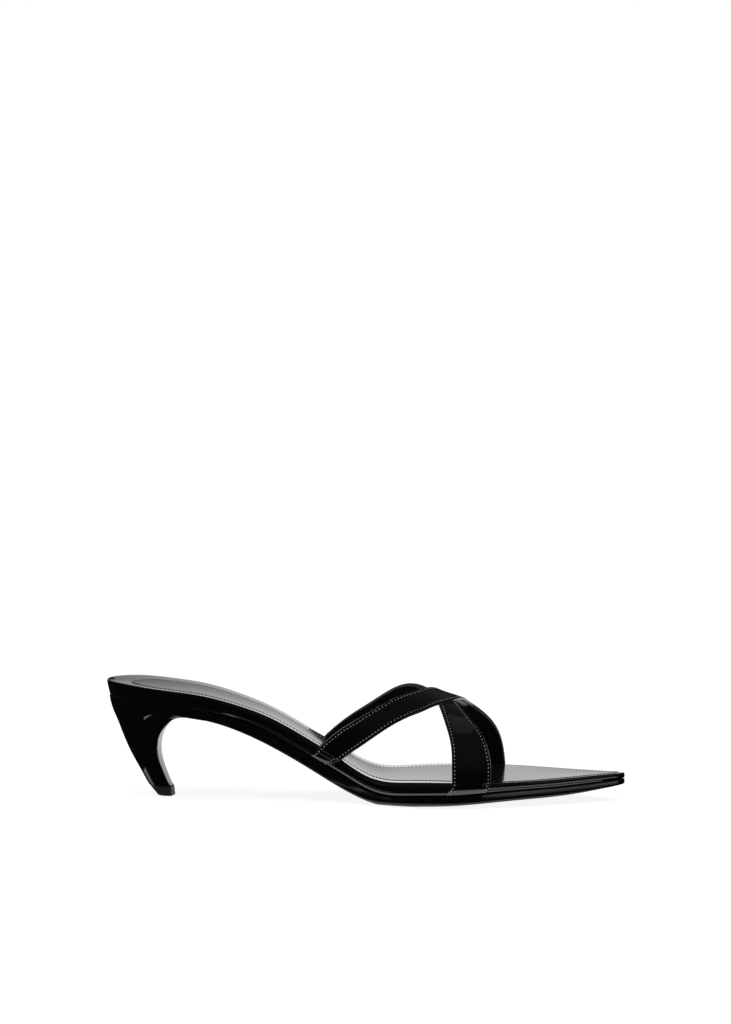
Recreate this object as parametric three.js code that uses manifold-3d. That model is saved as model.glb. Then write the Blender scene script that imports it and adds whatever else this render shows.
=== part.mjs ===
// Crossed-strap kitten heel mule, right shoe, millimetres, +Z up.
// +X runs from the heel to the toe, +Y to the inner side of the foot. The origin lies on the
// floor under the middle of the heel tip. Lengths along the shoe ("run") start at the back of
// the seat and are moved to the origin at the end.
import * as THREE from 'three';
import Module from 'manifold-3d';

const wasm = await Module();
wasm.setup();

// Driving sizes
const shoe_length = 255;
const ball_width = 72.8;
const heel_rise = 45.5;
const toe_lift = 1.7;
const footbed_side = 7.2;
const outsole_thickness = 4.9;
const seat_length = 51;
const cup_depth = 2;
const rim_round = 1.3;
const footbed_undercut = 1.6;
const outsole_setback = 0.6;
const outsole_edge = 1.3;
const toe_round = 3.2;
const seat_round = 29;
const sock_margin = 8.4;
const sock_thickness = 1.2;
const sock_recess = 0.8;
const heel_setback = 1.4;
const heel_width = 47;
const tip_height = 4.9;
const tip_length = 8.5;
const tip_back = 25.2;
const tip_flare = 0.35;
const strap_height = 48;
const strap_thickness = 1.8;
const strap_edge = 0.9;
const tab_thickness = 1.0;
const tab_reach = 9;
const crest_shift = 2;
const foot_slant = 7.5;
const clearance = 0.3;

// Outline of the footbed: middle line and half width, shares of half the ball width.
const plan_rows = [
  { at: 0.000, centre: 0.000, half: 0.577 },
  { at: 0.047, centre: 0.000, half: 0.648 },
  { at: 0.118, centre: 0.000, half: 0.687 },
  { at: 0.176, centre: 0.000, half: 0.665 },
  { at: 0.275, centre: -0.014, half: 0.580 },
  { at: 0.392, centre: -0.019, half: 0.519 },
  { at: 0.471, centre: -0.016, half: 0.610 },
  { at: 0.549, centre: -0.025, half: 0.854 },
  { at: 0.616, centre: -0.022, half: 0.967 },
  { at: 0.675, centre: 0.000, half: 1.000 },
  { at: 0.729, centre: 0.022, half: 0.973 },
  { at: 0.784, centre: 0.036, half: 0.871 },
  { at: 0.843, centre: 0.041, half: 0.690 },
  { at: 0.922, centre: 0.033, half: 0.368 },
  { at: 1.000, centre: 0.033, half: 0.066 },
];

// Side view: rise and lift carry the rim, side and outsole are the two thicknesses under it.
const side_rows = [
  { at: 0.000, rise: 1.000, lift: 0.000, side: 1.056, outsole: 0.918 },
  { at: 0.047, rise: 0.985, lift: 0.000, side: 1.139, outsole: 0.959 },
  { at: 0.118, rise: 0.941, lift: 0.000, side: 1.167, outsole: 0.918 },
  { at: 0.196, rise: 0.877, lift: 0.000, side: 1.111, outsole: 0.850 },
  { at: 0.255, rise: 0.787, lift: 0.000, side: 1.028, outsole: 1.080 },
  { at: 0.314, rise: 0.664, lift: 0.000, side: 1.120, outsole: 1.224 },
  { at: 0.392, rise: 0.424, lift: 0.000, side: 1.110, outsole: 1.347 },
  { at: 0.463, rise: 0.182, lift: 0.000, side: 0.986, outsole: 1.450 },
  { at: 0.506, rise: 0.048, lift: 0.000, side: 0.900, outsole: 1.270 },
  { at: 0.541, rise: 0.000, lift: 0.000, side: 0.944, outsole: 1.160 },
  { at: 0.588, rise: 0.000, lift: 0.000, side: 0.960, outsole: 1.090 },
  { at: 0.667, rise: 0.000, lift: 0.176, side: 0.890, outsole: 1.070 },
  { at: 0.784, rise: 0.000, lift: 0.118, side: 0.569, outsole: 1.061 },
  { at: 0.902, rise: 0.000, lift: 0.471, side: 0.528, outsole: 0.898 },
  { at: 1.000, rise: 0.000, lift: 1.000, side: 0.417, outsole: 0.551 },
];

// How deep the footbed is cupped, and how far the sock's edge stays from the rim.
const cup_rows = [
  { at: 0.000, cup: 0.9, margin: 1.40 },
  { at: 0.080, cup: 1.0, margin: 1.10 },
  { at: 0.200, cup: 1.0, margin: 1.00 },
  { at: 0.400, cup: 0.7, margin: 0.95 },
  { at: 0.500, cup: 0.5, margin: 1.00 },
  { at: 0.600, cup: 0.4, margin: 1.15 },
  { at: 0.680, cup: 0.3, margin: 0.90 },
  { at: 0.760, cup: 0.2, margin: 0.45 },
  { at: 0.860, cup: 0.2, margin: 0.36 },
  { at: 1.000, cup: 0.1, margin: 0.34 },
];

// Height of the strap's ridge over the rim, shares of strap_height.
const crest_rows = [
  { at: 0.373, height: 0.956 },
  { at: 0.431, height: 1.004 },
  { at: 0.490, height: 1.041 },
  { at: 0.549, height: 0.990 },
  { at: 0.588, height: 0.900 },
  { at: 0.627, height: 0.802 },
  { at: 0.675, height: 0.716 },
  { at: 0.725, height: 0.665 },
  { at: 0.784, height: 0.577 },
];

// Edges of each strap from its rear foot (turn 0) over the ridge (90) to its front foot (180).
const over_rows = [
  { turn: 0, heelward: 0.4170, toeward: 0.4590 },
  { turn: 15, heelward: 0.4535, toeward: 0.4996 },
  { turn: 30, heelward: 0.4925, toeward: 0.5435 },
  { turn: 45, heelward: 0.5320, toeward: 0.5890 },
  { turn: 60, heelward: 0.5680, toeward: 0.6275 },
  { turn: 75, heelward: 0.5980, toeward: 0.6560 },
  { turn: 90, heelward: 0.6200, toeward: 0.6740 },
  { turn: 105, heelward: 0.6380, toeward: 0.6870 },
  { turn: 120, heelward: 0.6570, toeward: 0.7070 },
  { turn: 135, heelward: 0.6740, toeward: 0.7340 },
  { turn: 150, heelward: 0.6850, toeward: 0.7520 },
  { turn: 165, heelward: 0.6900, toeward: 0.7600 },
  { turn: 180, heelward: 0.6920, toeward: 0.7640 },
];
const under_rows = [
  { turn: 0, heelward: 0.4170, toeward: 0.4590 },
  { turn: 15, heelward: 0.4535, toeward: 0.4996 },
  { turn: 30, heelward: 0.4920, toeward: 0.5435 },
  { turn: 45, heelward: 0.5290, toeward: 0.5890 },
  { turn: 60, heelward: 0.5620, toeward: 0.6250 },
  { turn: 75, heelward: 0.5910, toeward: 0.6520 },
  { turn: 90, heelward: 0.6160, toeward: 0.6690 },
  { turn: 105, heelward: 0.6350, toeward: 0.6840 },
  { turn: 120, heelward: 0.6480, toeward: 0.7040 },
  { turn: 135, heelward: 0.6610, toeward: 0.7260 },
  { turn: 150, heelward: 0.6720, toeward: 0.7400 },
  { turn: 165, heelward: 0.6760, toeward: 0.7465 },
  { turn: 180, heelward: 0.6770, toeward: 0.7460 },
];

// How far a strap's edges drift towards the heel down the footbed's side, shares of foot_slant.
const foot_rows = {
  rear: { heelward: 0.65, toeward: 1.00 },
  front: { heelward: 0.49, toeward: 0.29 },
};

// Heel sections, each spanned from a back point to a front point of the side view. Runs are
// shares of seat_length, heights shares of the way from the heel tip up to the seat.
const heel_rows = [
  { back: 0.032, back_up: 1.000, front: 0.994, front_up: 1.000, half: 1.000, seat: 1.00 },
  { back: 0.043, back_up: 0.955, front: 0.994, front_up: 0.900, half: 0.985, seat: 1.00 },
  { back: 0.065, back_up: 0.868, front: 0.931, front_up: 0.910, half: 0.915, seat: 0.80 },
  { back: 0.088, back_up: 0.795, front: 0.800, front_up: 0.888, half: 0.815, seat: 0.60 },
  { back: 0.116, back_up: 0.708, front: 0.682, front_up: 0.845, half: 0.690, seat: 0.35 },
  { back: 0.149, back_up: 0.595, front: 0.588, front_up: 0.735, half: 0.545, seat: 0.15 },
  { back: 0.184, back_up: 0.490, front: 0.529, front_up: 0.620, half: 0.438, seat: 0.00 },
  { back: 0.224, back_up: 0.388, front: 0.503, front_up: 0.487, half: 0.370, seat: 0.00 },
  { back: 0.275, back_up: 0.277, front: 0.509, front_up: 0.355, half: 0.328, seat: 0.00 },
  { back: 0.327, back_up: 0.170, front: 0.543, front_up: 0.220, half: 0.294, seat: 0.00 },
  { back: 0.376, back_up: 0.062, front: 0.593, front_up: 0.081, half: 0.272, seat: 0.00 },
  { back: 0.408, back_up: 0.000, front: 0.631, front_up: 0.000, half: 0.266, seat: 0.00 },
];

// Natural cubic spline through (xs, ys), held at its ends.
function spline(xs, ys) {
  const count = xs.length;
  const bend = new Array(count).fill(0);
  const lower = new Array(count).fill(0);
  for (let i = 1; i < count - 1; i += 1) {
    const before = xs[i] - xs[i - 1];
    const after = xs[i + 1] - xs[i];
    const share = before / (before + after);
    const pivot = share * bend[i - 1] + 2;
    bend[i] = (share - 1) / pivot;
    const change = (ys[i + 1] - ys[i]) / after - (ys[i] - ys[i - 1]) / before;
    lower[i] = (6 * change / (before + after) - share * lower[i - 1]) / pivot;
  }
  for (let i = count - 2; i > 0; i -= 1) {
    bend[i] = bend[i] * bend[i + 1] + lower[i];
  }
  bend[0] = 0;
  return (value) => {
    const x = Math.min(Math.max(value, xs[0]), xs[count - 1]);
    let i = 0;
    while (i < count - 2 && x > xs[i + 1]) i += 1;
    const step = xs[i + 1] - xs[i];
    const a = (xs[i + 1] - x) / step;
    const b = (x - xs[i]) / step;
    const curve = (a ** 3 - a) * bend[i] + (b ** 3 - b) * bend[i + 1];
    return a * ys[i] + b * ys[i + 1] + curve * step * step / 6;
  };
}

const column = (rows, key, name, scale) => {
  const curve = spline(rows.map((row) => row[key]), rows.map((row) => row[name]));
  return (value) => curve(value / scale);
};
const mix = (a, b, share) => a + (b - a) * share;
const smooth = (share) => {
  const s = Math.min(Math.max(share, 0), 1);
  return s * s * (3 - 2 * s);
};

// Shoe form
const half_ball = ball_width / 2;
const centre_share = column(plan_rows, 'at', 'centre', shoe_length);
const half_share = column(plan_rows, 'at', 'half', shoe_length);
const rise_share = column(side_rows, 'at', 'rise', shoe_length);
const lift_share = column(side_rows, 'at', 'lift', shoe_length);
const side_share = column(side_rows, 'at', 'side', shoe_length);
const outsole_share = column(side_rows, 'at', 'outsole', shoe_length);
const cup_share = column(cup_rows, 'at', 'cup', shoe_length);
const margin_share = column(cup_rows, 'at', 'margin', shoe_length);
const crest_share = column(crest_rows, 'at', 'height', shoe_length);

const centre_line = (run) => half_ball * centre_share(run);
function half_width(run) {
  const from_back = Math.min(Math.max(run / seat_round, 0), 1);
  const from_toe = Math.min(Math.max((shoe_length - run) / toe_round, 0), 1);
  const back = Math.sqrt(1 - (1 - from_back) ** 2);
  const toe = Math.sqrt(1 - (1 - from_toe) ** 2);
  return half_ball * half_share(run) * mix(back, 1, 0.1 * from_back) * toe;
}
const rim_height = (run) => {
  const stack = footbed_side + outsole_thickness;
  return stack + heel_rise * rise_share(run) + toe_lift * lift_share(run);
};
const seam_height = (run) => rim_height(run) - footbed_side * side_share(run);
const ground_line = (run) => Math.max(0, seam_height(run) - outsole_thickness * outsole_share(run));
const sock_inset = (run) => sock_margin * margin_share(run);

// The footbed's upper face: a shallow cup that fades out at the rim.
function footbed_top(run, across) {
  const reach = Math.min(Math.abs(across - centre_line(run)) / Math.max(half_width(run), 1), 1);
  return rim_height(run) - cup_depth * cup_share(run) * (1 - reach * reach) ** 1.5;
}

// Outline samples, dense where the ends turn round.
const outline = [];
const outline_steps = 420;
for (let i = 0; i <= outline_steps; i += 1) {
  const run = shoe_length * (1 - Math.cos(Math.PI * i / outline_steps)) / 2;
  outline.push({ run, centre: centre_line(run), half: half_width(run) });
}

// Inner parallel of the outline: a disc of radius inset(run) rolled along its inside.
function inset_outline(inset) {
  const side = (run, sign) => {
    let reach = Infinity;
    for (const spot of outline) {
      const radius = inset(spot.run);
      const away = Math.abs(run - spot.run);
      const edge = sign * spot.centre + spot.half;
      if (away < radius) reach = Math.min(reach, edge - Math.sqrt(radius ** 2 - away ** 2));
    }
    return reach;
  };
  const exact = (run, sign) => sign * centre_line(run) + half_width(run);
  const at = (run) => {
    const lateral = Math.min(side(run, -1), exact(run, -1) - Math.max(inset(run), 0));
    const medial = Math.min(side(run, 1), exact(run, 1) - Math.max(inset(run), 0));
    return { lateral, medial, width: lateral + medial };
  };
  const end = (inner, outer) => {
    let inside = inner;
    let outside = outer;
    for (let i = 0; i < 40; i += 1) {
      const middle = (inside + outside) / 2;
      if (at(middle).width > 0) inside = middle;
      else outside = middle;
    }
    return inside;
  };
  return { at, back: end(shoe_length / 2, 0), toe: end(shoe_length / 2, shoe_length) };
}

// Closed shells made of shared points.
function new_shell() {
  return { points: [], faces: [] };
}
function add_point(shell, x, y, z) {
  shell.points.push(x, y, z);
  return shell.points.length / 3 - 1;
}
function add_face(shell, a, b, c) {
  if (a !== b && b !== c && a !== c) shell.faces.push(a, b, c);
}
function join_rings(shell, first, second) {
  for (let i = 0; i < first.length; i += 1) {
    const next = (i + 1) % first.length;
    add_face(shell, first[i], first[next], second[next]);
    add_face(shell, first[i], second[next], second[i]);
  }
}
// Fills between two lists of points that run the same way; a single point makes a fan.
function fill_strip(shell, first, second, flipped) {
  const steps = Math.max(first.length, second.length) - 1;
  for (let i = 0; i < steps; i += 1) {
    const a = first[Math.min(i, first.length - 1)];
    const b = first[Math.min(i + 1, first.length - 1)];
    const c = second[Math.min(i + 1, second.length - 1)];
    const d = second[Math.min(i, second.length - 1)];
    if (flipped) {
      add_face(shell, a, c, b);
      add_face(shell, a, d, c);
    } else {
      add_face(shell, a, b, c);
      add_face(shell, a, c, d);
    }
  }
}
function to_manifold(shell) {
  const points = shell.points;
  let volume = 0;
  for (let i = 0; i < shell.faces.length; i += 3) {
    const [a, b, c] = [0, 1, 2].map((k) => {
      const start = 3 * shell.faces[i + k];
      return new THREE.Vector3(points[start], points[start + 1], points[start + 2]);
    });
    volume += a.dot(b.cross(c));
  }
  const faces = shell.faces.slice();
  if (volume < 0) {
    for (let i = 0; i < faces.length; i += 3) [faces[i], faces[i + 1]] = [faces[i + 1], faces[i]];
  }
  return new wasm.Manifold(new wasm.Mesh({
    numProp: 3,
    vertProperties: new Float32Array(points),
    triVerts: new Uint32Array(faces),
  }));
}

// A sole-shaped layer: rings of the outline from the middle of the underside to the middle of
// the upper face. Each row gives its inset and its height as functions of the run. With
// square_back the layer is cut off straight at that run.
function layer({ rows, stations, cross, square_back }) {
  const shell = new_shell();
  const is_square = square_back !== undefined;
  const add_line = (place, height, inner_only) => {
    const line = [];
    for (let k = 0; k <= cross; k += 1) {
      const across = mix(place.near_edge, place.far_edge, k / cross);
      const outer = k === 0 || k === cross;
      if (!(inner_only && outer)) line.push(add_point(shell, place.run, across, height(place.run, across)));
    }
    return line;
  };
  const rings = rows.map((row) => {
    const edge = inset_outline(row.inset);
    const back = is_square ? square_back : edge.back;
    const places = [];
    for (let i = 0; i <= stations; i += 1) {
      const turn = i / stations;
      const share = is_square ? Math.sin(Math.PI * turn / 2) : (1 - Math.cos(Math.PI * turn)) / 2;
      const run = mix(back, edge.toe, share);
      const { lateral, medial } = edge.at(run);
      const middle = (medial - lateral) / 2;
      if ((i === 0 && !is_square) || i === stations) {
        places.push({ run, line: [add_point(shell, run, middle, row.height(run, middle))] });
      } else {
        const place = { run, near_edge: -lateral, far_edge: medial };
        if (i === 0) {
          place.line = add_line(place, row.height, false);
        } else {
          const near = add_point(shell, run, -lateral, row.height(run, -lateral));
          const far = add_point(shell, run, medial, row.height(run, medial));
          place.line = [near, far];
        }
        places.push(place);
      }
    }
    return places;
  });
  const loops = rings.map((places) => {
    const near = places.map((place) => place.line[0]);
    const far = places.slice(1, -1).map((place) => place.line[place.line.length - 1]).reverse();
    return near.concat(far, places[0].line.slice(1).reverse());
  });
  for (let i = 0; i + 1 < loops.length; i += 1) join_rings(shell, loops[i], loops[i + 1]);
  const cap = (places, height, flipped) => {
    const lines = places.map((place) => {
      if (place.line.length !== 2) return place.line;
      return [place.line[0], ...add_line(place, height, true), place.line[1]];
    });
    for (let i = 0; i + 1 < lines.length; i += 1) fill_strip(shell, lines[i], lines[i + 1], flipped);
  };
  cap(rings[0], rows[0].height, false);
  cap(rings[rings.length - 1], rows[rows.length - 1].height, true);
  return to_manifold(shell);
}

// Footbed: bullnose side, undercut below, cupped above, with a recess for the sock.
const recess_inset = (run) => sock_inset(run) - clearance;
const side_rise = (share) => (run) => mix(seam_height(run), rim_height(run), share);
const toward_sock = (share) => (run) => mix(rim_round, recess_inset(run), share);
const recess_floor = (run, across) => footbed_top(run, across) - sock_recess - clearance;
const footbed_rows = [
  { inset: () => footbed_undercut, height: side_rise(0) },
  { inset: () => footbed_undercut * 0.5, height: side_rise(0.28) },
  { inset: () => footbed_undercut * 0.12, height: side_rise(0.54) },
  { inset: () => 0, height: side_rise(0.76) },
  { inset: () => rim_round * 0.38, height: side_rise(0.93) },
  { inset: () => rim_round, height: footbed_top },
  { inset: toward_sock(0.5), height: footbed_top },
  { inset: recess_inset, height: footbed_top },
  { inset: recess_inset, height: recess_floor },
];

const sock_rows = [
  { inset: sock_inset, height: (run, y) => footbed_top(run, y) - sock_recess },
  { inset: sock_inset, height: (run, y) => footbed_top(run, y) - sock_recess + sock_thickness * 0.7 },
  {
    inset: (run) => sock_inset(run) + sock_thickness * 0.5,
    height: (run, y) => footbed_top(run, y) - sock_recess + sock_thickness,
  },
];

const outsole_top = (run) => seam_height(run) - clearance;
const outsole_rows = [
  { inset: () => outsole_setback + outsole_edge * 1.4, height: ground_line },
  {
    inset: () => outsole_setback + outsole_edge * 0.4,
    height: (run) => ground_line(run) + outsole_edge * 0.4,
  },
  { inset: () => outsole_setback, height: (run) => ground_line(run) + outsole_edge * 1.3 },
  { inset: () => outsole_setback, height: outsole_top },
];

// Strap form: a section at each run that starts under the footbed, goes up its side, over the
// foot and down the other side. step 0..180 is the arch; the feet lie before and after it.
const arch_round = 2.3;
const arch_flat = 2.1;
const foot_path = [
  { inset: -clearance, up: 0.86, above: 0, inward: 0 },
  { inset: -clearance, up: 0.50, above: 0, inward: 0 },
  { inset: clearance, up: 0.16, above: 0.60, inward: 0 },
  { inset: clearance * 5, up: 0, above: 1.15, inward: 0 },
  { inset: clearance * 5, up: 0, above: 1.10, inward: 0.35 },
  { inset: clearance * 5, up: 0, above: 1.10, inward: 1 },
];
function arch_point(run, angle) {
  const medial = angle > 90;
  const turn = THREE.MathUtils.degToRad(Math.min(Math.max(angle, 0), 180));
  const sign = medial ? 1 : -1;
  const edge = sign * centre_line(run) + half_width(run) + clearance;
  const reach = edge - sign * crest_shift;
  const bow = Math.abs(Math.cos(turn)) ** (2 / arch_round);
  const swell = Math.abs(Math.sin(turn)) ** (2 / arch_flat);
  const height = strap_height * crest_share(run);
  return new THREE.Vector3(run, crest_shift + sign * reach * bow, rim_height(run) + height * swell);
}
function foot_point(run, place, sign, deeper) {
  const spot = foot_path[place];
  const edge = sign * centre_line(run) + half_width(run);
  const reach = edge - spot.inset - (tab_reach + deeper) * spot.inward;
  const height = mix(seam_height(run), rim_height(run), spot.up) + tab_thickness * spot.above;
  return new THREE.Vector3(run, sign * reach, height);
}
// Steps before the arch are -1 to -6, steps after it 181 to 186.
function strap_place(run, step, deeper = 0) {
  if (step < 0) return foot_point(run, -step - 1, -1, deeper);
  if (step > 180) return foot_point(run, step - 181, 1, deeper);
  return arch_point(run, step);
}
const arch_steps = 38;
const steps = [];
for (let i = foot_path.length; i > 0; i -= 1) steps.push(-i);
for (let i = 0; i <= arch_steps; i += 1) steps.push(180 * i / arch_steps);
for (let i = 1; i <= foot_path.length; i += 1) steps.push(180 + i);

// How far down the footbed's side a step lies: 0 at the rim, 1 at the seam.
function foot_fall(step) {
  if (step >= 0 && step <= 180) return 0;
  return 1 - foot_path[step < 0 ? -step - 1 : step - 181].up;
}
// Runs of a strap's two edges at a step; mirrored turns the strap to the other side.
function strap_edges(rows, mirrored) {
  const heelward = column(rows, 'turn', 'heelward', 1);
  const toeward = column(rows, 'turn', 'toeward', 1);
  return (step) => {
    const inside = Math.min(Math.max(step, 0), 180);
    const turn = mirrored ? 180 - inside : inside;
    const foot = foot_rows[turn > 90 ? 'front' : 'rear'];
    const slant = foot_slant * foot_fall(step);
    return {
      heelward: shoe_length * heelward(turn) - slant * foot.heelward,
      toeward: shoe_length * toeward(turn) - slant * foot.toeward,
    };
  };
}
const over_edges = strap_edges(over_rows, false);
const under_edges = strap_edges(under_rows, true);

// Outward direction of the strap form at a row and run.
function strap_normal(run, row, deeper) {
  const here = strap_place(run, steps[row], deeper);
  const along = strap_place(run + 0.5, steps[row]).sub(strap_place(run - 0.5, steps[row]));
  const before = strap_place(run, steps[Math.max(row - 1, 0)]);
  const after = strap_place(run, steps[Math.min(row + 1, steps.length - 1)]);
  const out = along.cross(after.sub(before)).normalize();
  return { here, out };
}
function wall_at(row) {
  const beyond = steps[row] < 0 ? -steps[row] : Math.max(steps[row] - 180, 0);
  return mix(strap_thickness, tab_thickness, smooth(beyond / 4));
}
// The over strap rides over the under strap and settles back within ramp of its edges.
const ramp = 4.5;
const bite = 0.12;
function lift_over(run, step) {
  if (step < 0 || step > 180) return 0;
  const other = under_edges(step);
  const away = Math.max(other.heelward - run, run - other.toeward, 0);
  return (strap_thickness - bite) * (1 - smooth(away / ramp));
}
const across_rows = [
  { across: 0, out: 0.5 },
  { across: 0.06, out: 1 },
  { across: 0.5, out: 1 },
  { across: 0.94, out: 1 },
  { across: 1, out: 0.5 },
  { across: 1, out: 0 },
  { across: 0.5, out: 0 },
  { across: 0, out: 0 },
];
function strap(edges, lift, options = {}) {
  const { widen = 0, deeper = 0, under = 0, over = 0, from = 0, to = steps.length - 1 } = options;
  const shell = new_shell();
  const rings = [];
  for (let row = from; row <= to; row += 1) {
    const edge = edges(steps[row]);
    const ring = across_rows.map((spot) => {
      const run = mix(edge.heelward - widen, edge.toeward + widen, spot.across);
      const { here, out } = strap_normal(run, row, deeper);
      const raise = lift(run, steps[row]) + (spot.out > 0 ? spot.out * wall_at(row) + over : -under);
      const point = here.addScaledVector(out, raise);
      return add_point(shell, point.x, point.y, point.z);
    });
    rings.push(ring);
  }
  for (let i = 0; i + 1 < rings.length; i += 1) join_rings(shell, rings[i], rings[i + 1]);
  const close = (ring, flipped) => {
    fill_strip(shell, [ring[7], ring[6], ring[5]], [ring[0], ring[2], ring[4]], flipped);
    const thin = [[ring[0], ring[1], ring[2]], [ring[2], ring[3], ring[4]]];
    for (const [a, b, c] of thin) {
      if (flipped) add_face(shell, a, b, c);
      else add_face(shell, a, c, b);
    }
  };
  close(rings[0], false);
  close(rings[rings.length - 1], true);
  return to_manifold(shell);
}
const flat_lay = () => 0;
const over_strap = strap(over_edges, lift_over);
const under_strap = strap(under_edges, flat_lay);
const upper = over_strap.add(under_strap);

// Pockets in the underside of the footbed take the strap's tabs.
const tab_rows = 4;
function tab_pockets(edges) {
  const room = { widen: clearance, deeper: clearance, under: clearance, over: 2 * clearance };
  const last = steps.length - 1;
  const near = strap(edges, flat_lay, { ...room, from: 0, to: tab_rows });
  const far = strap(edges, flat_lay, { ...room, from: last - tab_rows, to: last });
  return near.add(far);
}

// Heel: sections from the seat down to the heel tip.
const seat_top = (run) => seam_height(run) - clearance;
const heel_foot = tip_height + clearance;
function section_width(share, seat_like, run) {
  const round = Math.min(share / 0.62, 1);
  const corner = Math.max((share - 0.86) / 0.14, 0);
  const column_shape = (1 - (1 - round) ** 2.2) ** (1 / 2.2) * (1 - 0.16 * corner ** 2);
  const seat_shape = (half_width(run) - heel_setback) / (heel_width / 2);
  return mix(column_shape, Math.max(seat_shape, 0), seat_like);
}
function section_ring(shell, spot, half, seat_like, on_seat) {
  const near = [];
  const far = [];
  const count = 14;
  for (let i = 0; i <= count; i += 1) {
    const share = 1 - Math.cos(Math.PI / 2 * i / count);
    const run = mix(spot.back, spot.front, share);
    const height = on_seat ? seat_top(run) : mix(spot.back_height, spot.front_height, share);
    const width = i === 0 ? 0 : half * section_width(share, seat_like, run);
    near.push({ run, width, height });
    far.push({ run, width, height });
  }
  const ring = near.map((p) => add_point(shell, p.run, -p.width, p.height));
  const other = far.slice(1).reverse().map((p) => add_point(shell, p.run, p.width, p.height));
  return ring.concat(other);
}
function close_section(shell, ring, flipped) {
  const half = (ring.length + 1) / 2;
  for (let i = 0; i + 1 < half; i += 1) {
    const a = ring[i];
    const b = ring[i + 1];
    const c = ring[ring.length - 1 - i];
    const d = i === 0 ? a : ring[ring.length - i];
    if (flipped) {
      add_face(shell, a, c, b);
      add_face(shell, a, d, c);
    } else {
      add_face(shell, a, b, c);
      add_face(shell, a, c, d);
    }
  }
}
function heel() {
  const shell = new_shell();
  const front_stop = seat_length - clearance;
  const rings = heel_rows.map((row, index) => {
    const back = seat_length * row.back;
    const front = Math.min(seat_length * row.front, front_stop);
    const lip = index === 1 ? ground_line(front) : mix(heel_foot, seat_top(front), row.front_up);
    const spot = {
      back,
      front,
      back_height: mix(heel_foot, seat_top(back), row.back_up),
      front_height: lip,
    };
    return section_ring(shell, spot, heel_width / 2 * row.half, row.seat, index === 0);
  });
  for (let i = 0; i + 1 < rings.length; i += 1) join_rings(shell, rings[i], rings[i + 1]);
  close_section(shell, rings[0], true);
  close_section(shell, rings[rings.length - 1], false);
  return to_manifold(shell);
}

// Heel tip: a wear block under the heel's foot, cut flat on the floor.
function heel_tip() {
  const shell = new_shell();
  const last = heel_rows[heel_rows.length - 1];
  const half = heel_width / 2 * last.half;
  const top = { back: seat_length * last.back + tip_flare, front: seat_length * last.front + tip_flare };
  const levels = [
    { ...top, height: tip_height, half: half + tip_flare },
    { back: tip_back, front: tip_back + tip_length, height: 0, half: half - tip_flare },
  ];
  const rings = levels.map((level) => {
    const spot = { ...level, back_height: level.height, front_height: level.height };
    return section_ring(shell, spot, level.half, 0, false);
  });
  join_rings(shell, rings[0], rings[1]);
  close_section(shell, rings[0], true);
  close_section(shell, rings[1], false);
  return to_manifold(shell);
}

const pockets = tab_pockets(over_edges).add(tab_pockets(under_edges));
const footbed = layer({ rows: footbed_rows, stations: 60, cross: 6 }).subtract(pockets);
const insole_sock = layer({ rows: sock_rows, stations: 54, cross: 6 });
const outsole = layer({
  rows: outsole_rows,
  stations: 60,
  cross: 4,
  square_back: seat_length,
});

// Scene graph
const origin_run = tip_back + tip_length / 2;
const shoe = new THREE.Group();
shoe.name = 'kitten_heel_mule';
function add_mesh(name, solid, look) {
  const mesh = solid.getMesh();
  const geometry = new THREE.BufferGeometry();
  const points = new Float32Array(mesh.vertProperties);
  geometry.setAttribute('position', new THREE.BufferAttribute(points, mesh.numProp));
  geometry.setIndex(new THREE.BufferAttribute(new Uint32Array(mesh.triVerts), 1));
  const item = new THREE.Mesh(geometry, new THREE.MeshStandardMaterial(look));
  item.name = name;
  item.position.set(-origin_run, 0, 0);
  shoe.add(item);
}
const patent = { color: 0x0b0b0d, roughness: 0.08, metalness: 0 };
add_mesh('footbed', footbed, patent);
add_mesh('insole_sock', insole_sock, { color: 0x1a1a1c, roughness: 0.3, metalness: 0 });
add_mesh('outsole', outsole, { color: 0x0e0e0f, roughness: 0.45, metalness: 0 });
add_mesh('heel', heel(), patent);
add_mesh('heel_tip', heel_tip(), { color: 0x151716, roughness: 0.6, metalness: 0 });
add_mesh('upper', upper, patent);

export default shoe;
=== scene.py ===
# %% [markdown]
# # A crossed-strap kitten heel mule in black patent leather
# The solid model gives every piece its place and size. This lesson dresses it: fine surfaces,
# patent leather, a sock, stitches, light and a camera. First the solid model is opened.

# %% Open the solid model
import math

import bmesh
import bpy
import numpy as np
from mathutils import Matrix, Vector


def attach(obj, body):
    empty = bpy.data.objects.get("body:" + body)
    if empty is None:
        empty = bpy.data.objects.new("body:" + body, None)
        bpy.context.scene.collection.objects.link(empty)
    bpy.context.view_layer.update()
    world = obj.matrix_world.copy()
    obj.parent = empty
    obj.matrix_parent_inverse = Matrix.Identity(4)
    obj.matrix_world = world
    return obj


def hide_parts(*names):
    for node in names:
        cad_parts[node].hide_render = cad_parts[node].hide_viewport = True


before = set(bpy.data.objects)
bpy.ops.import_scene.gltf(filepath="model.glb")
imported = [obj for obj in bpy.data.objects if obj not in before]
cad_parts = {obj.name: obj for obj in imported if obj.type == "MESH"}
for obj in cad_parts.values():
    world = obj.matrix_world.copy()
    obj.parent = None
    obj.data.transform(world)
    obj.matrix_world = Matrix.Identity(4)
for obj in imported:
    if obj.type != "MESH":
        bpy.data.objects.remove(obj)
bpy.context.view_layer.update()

print("pieces in the solid model:", sorted(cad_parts))

# %% [markdown]
# ## Sizes
# A shoemaker keeps one sheet of sizes for the whole shoe. The values are those of the solid
# model, in millimetres, so each fine surface lies where its solid lies. Only the cup is a
# little shallower. Blender counts in metres, so MM turns one into the other when a mesh is
# made.

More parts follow.
